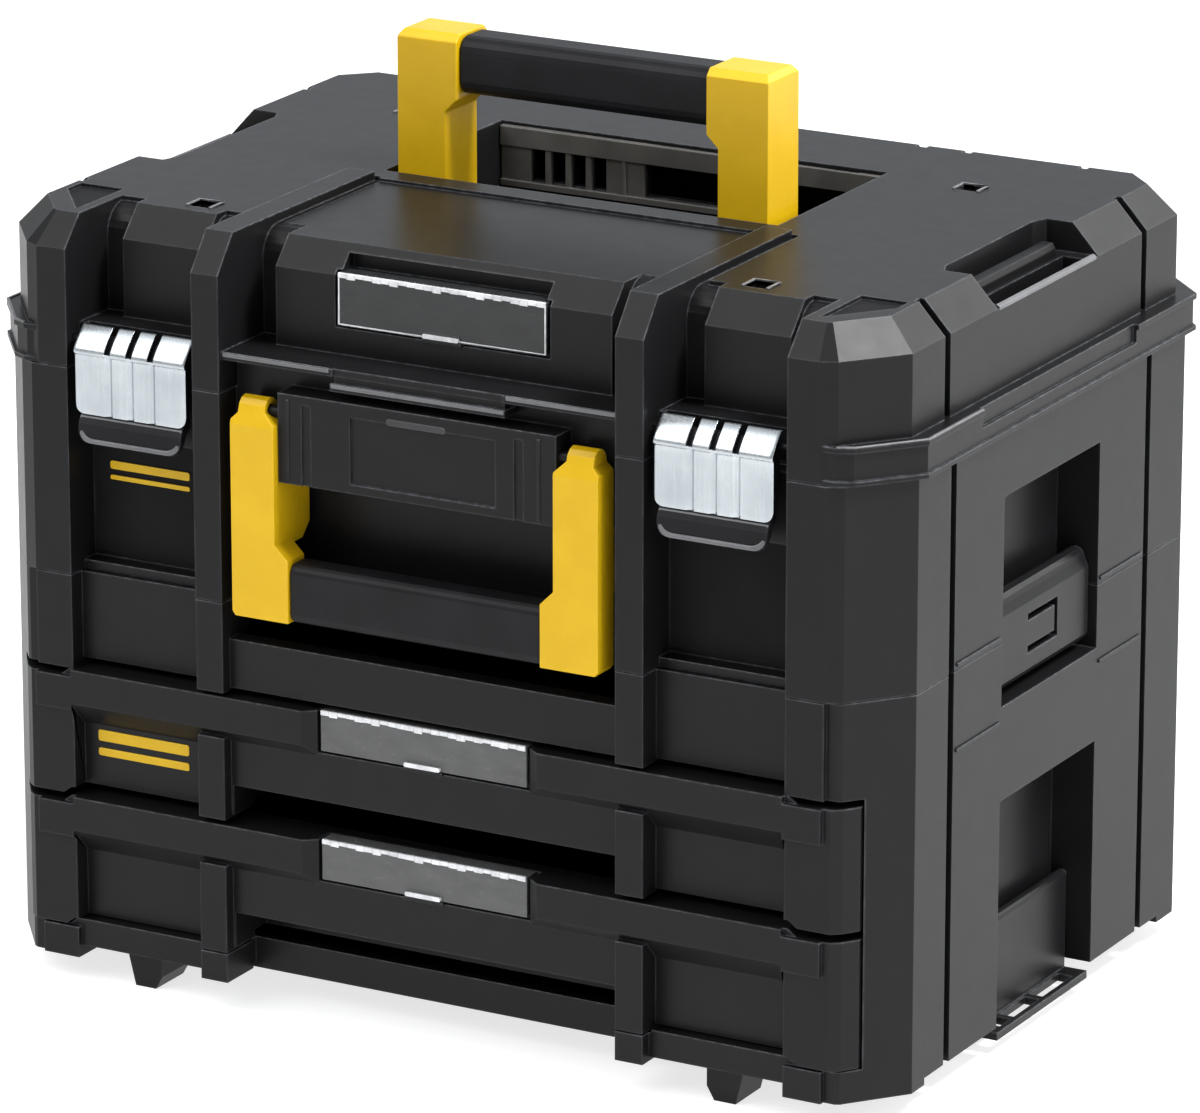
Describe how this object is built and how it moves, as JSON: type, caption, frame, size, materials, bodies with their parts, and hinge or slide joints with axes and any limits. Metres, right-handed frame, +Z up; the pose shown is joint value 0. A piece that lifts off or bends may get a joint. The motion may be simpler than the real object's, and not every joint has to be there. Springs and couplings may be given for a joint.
{
  "type": "stacking tool chest",
  "caption": "Two clipped tool modules: a two-drawer unit with a lidded tool case on top, a folding carry handle, a front handle and front latches.",
  "frame": {"origin": "on the floor, under the middle of the whole chest", "axes": "+Z up, the front with the latches and drawers faces -Y, +X to the right seen from the front"},
  "size_m": [0.435, 0.315, 0.397],
  "materials": {
    "black_plastic": "fine moulded grain, near black",
    "grip_plastic": "smoother black, slightly rubbery",
    "yellow_plastic": "satin yellow",
    "clear_window": "translucent light grey",
    "label_card": "plain grey card",
    "latch_metal": "zinc plated, softly brushed",
    "pin_steel": "plain steel",
    "rail_steel": "zinc plated"
  },
  "bodies": {
    "base": {"drawer_case": "black_plastic", "tool_case_shell": "black_plastic", "drawer_top_rail_fixed_right": "rail_steel", "drawer_top_rail_fixed_left": "rail_steel", "drawer_bottom_rail_fixed_right": "rail_steel", "drawer_bottom_rail_fixed_left": "rail_steel", "stack_latch_lower_pin_right": "pin_steel", "stack_latch_lower_pin_left": "pin_steel", "stack_latch_upper_pin_right": "pin_steel", "stack_latch_upper_pin_left": "pin_steel", "front_handle_pin_right": "black_plastic", "front_handle_pin_left": "black_plastic", "lid_hinge_pin_right": "pin_steel", "lid_hinge_pin_left": "pin_steel"},
    "lid": {"lid_shell": "black_plastic", "lid_label_window": "clear_window", "lid_label_card": "label_card", "latch_pin_right": "pin_steel", "latch_pin_left": "pin_steel", "top_handle_pin_right": "pin_steel", "top_handle_pin_left": "pin_steel"},
    "top_handle": {"top_handle_arm_right": "yellow_plastic", "top_handle_arm_left": "yellow_plastic", "top_handle_grip": "grip_plastic"},
    "front_handle": {"front_handle_arm_right": "yellow_plastic", "front_handle_arm_left": "yellow_plastic", "front_handle_grip": "grip_plastic"},
    "latch_right": {"latch_lever_right": "grip_plastic", "latch_plate_right": "latch_metal"},
    "latch_left": {"latch_lever_left": "grip_plastic", "latch_plate_left": "latch_metal"},
    "drawer_top": {"drawer_top": "black_plastic", "drawer_top_label_window": "clear_window", "drawer_top_label_card": "label_card", "drawer_top_divider_right": "black_plastic", "drawer_top_divider_left": "black_plastic", "drawer_top_rail_inner_right": "rail_steel", "drawer_top_rail_inner_left": "rail_steel"},
    "slide_top_right": {"drawer_top_rail_middle_right": "rail_steel"},
    "slide_top_left": {"drawer_top_rail_middle_left": "rail_steel"},
    "drawer_bottom": {"drawer_bottom": "black_plastic", "drawer_bottom_label_window": "clear_window", "drawer_bottom_label_card": "label_card", "drawer_bottom_divider_right": "black_plastic", "drawer_bottom_divider_left": "black_plastic", "drawer_bottom_rail_inner_right": "rail_steel", "drawer_bottom_rail_inner_left": "rail_steel"},
    "slide_bottom_right": {"drawer_bottom_rail_middle_right": "rail_steel"},
    "slide_bottom_left": {"drawer_bottom_rail_middle_left": "rail_steel"},
    "stack_latch_upper_right": {"stack_latch_upper_right": "black_plastic"},
    "stack_latch_lower_right": {"stack_latch_lower_right": "black_plastic"},
    "stack_latch_upper_left": {"stack_latch_upper_left": "black_plastic"},
    "stack_latch_lower_left": {"stack_latch_lower_left": "black_plastic"}
  },
  "joints": [
    {"name": "lid_hinge", "type": "hinge", "parent": "base", "child": "lid", "pos_m": [0, 0.153, 0.2745], "axis": [-1, 0, 0], "range_deg": [0, 100]},
    {"name": "top_handle_fold", "type": "hinge", "parent": "lid", "child": "top_handle", "pos_m": [0, -0.003, 0.321], "axis": [-1, 0, 0], "range_deg": [0, 90]},
    {"name": "front_handle_swing", "type": "hinge", "parent": "base", "child": "front_handle", "pos_m": [0, -0.15, 0.266], "axis": [-1, 0, 0], "range_deg": [0, 90]},
    {"name": "latch_right_flip", "type": "hinge", "parent": "lid", "child": "latch_right", "pos_m": [0.137, -0.1468, 0.2835], "axis": [-1, 0, 0], "range_deg": [0, 100]},
    {"name": "latch_left_flip", "type": "hinge", "parent": "lid", "child": "latch_left", "pos_m": [-0.137, -0.1468, 0.2835], "axis": [-1, 0, 0], "range_deg": [0, 100]},
    {"name": "drawer_top_slide", "type": "slide", "parent": "base", "child": "drawer_top", "axis": [0, -1, 0], "range_m": [0, 0.2]},
    {"name": "rail_top_right_slide", "type": "slide", "parent": "base", "child": "slide_top_right", "axis": [0, -1, 0], "range_m": [0, 0.1]},
    {"name": "rail_top_left_slide", "type": "slide", "parent": "base", "child": "slide_top_left", "axis": [0, -1, 0], "range_m": [0, 0.1]},
    {"name": "drawer_bottom_slide", "type": "slide", "parent": "base", "child": "drawer_bottom", "axis": [0, -1, 0], "range_m": [0, 0.2]},
    {"name": "rail_bottom_right_slide", "type": "slide", "parent": "base", "child": "slide_bottom_right", "axis": [0, -1, 0], "range_m": [0, 0.1]},
    {"name": "rail_bottom_left_slide", "type": "slide", "parent": "base", "child": "slide_bottom_left", "axis": [0, -1, 0], "range_m": [0, 0.1]},
    {"name": "stack_latch_upper_right_flip", "type": "hinge", "parent": "base", "child": "stack_latch_upper_right", "pos_m": [0.203, -0.001, 0.193], "axis": [0, -1, 0], "range_deg": [0, 60]},
    {"name": "stack_latch_lower_right_flip", "type": "hinge", "parent": "base", "child": "stack_latch_lower_right", "pos_m": [0.2, -0.001, 0.051], "axis": [0, -1, 0], "range_deg": [0, 60]},
    {"name": "stack_latch_upper_left_flip", "type": "hinge", "parent": "base", "child": "stack_latch_upper_left", "pos_m": [-0.203, -0.001, 0.193], "axis": [0, 1, 0], "range_deg": [0, 60]},
    {"name": "stack_latch_lower_left_flip", "type": "hinge", "parent": "base", "child": "stack_latch_lower_left", "pos_m": [-0.2, -0.001, 0.051], "axis": [0, 1, 0], "range_deg": [0, 60]}
  ],
  "couplings": [
    {"joint": "rail_top_right_slide", "follows": "drawer_top_slide", "ratio": 0.5},
    {"joint": "rail_top_left_slide", "follows": "drawer_top_slide", "ratio": 0.5},
    {"joint": "rail_bottom_right_slide", "follows": "drawer_bottom_slide", "ratio": 0.5},
    {"joint": "rail_bottom_left_slide", "follows": "drawer_bottom_slide", "ratio": 0.5}
  ]
}
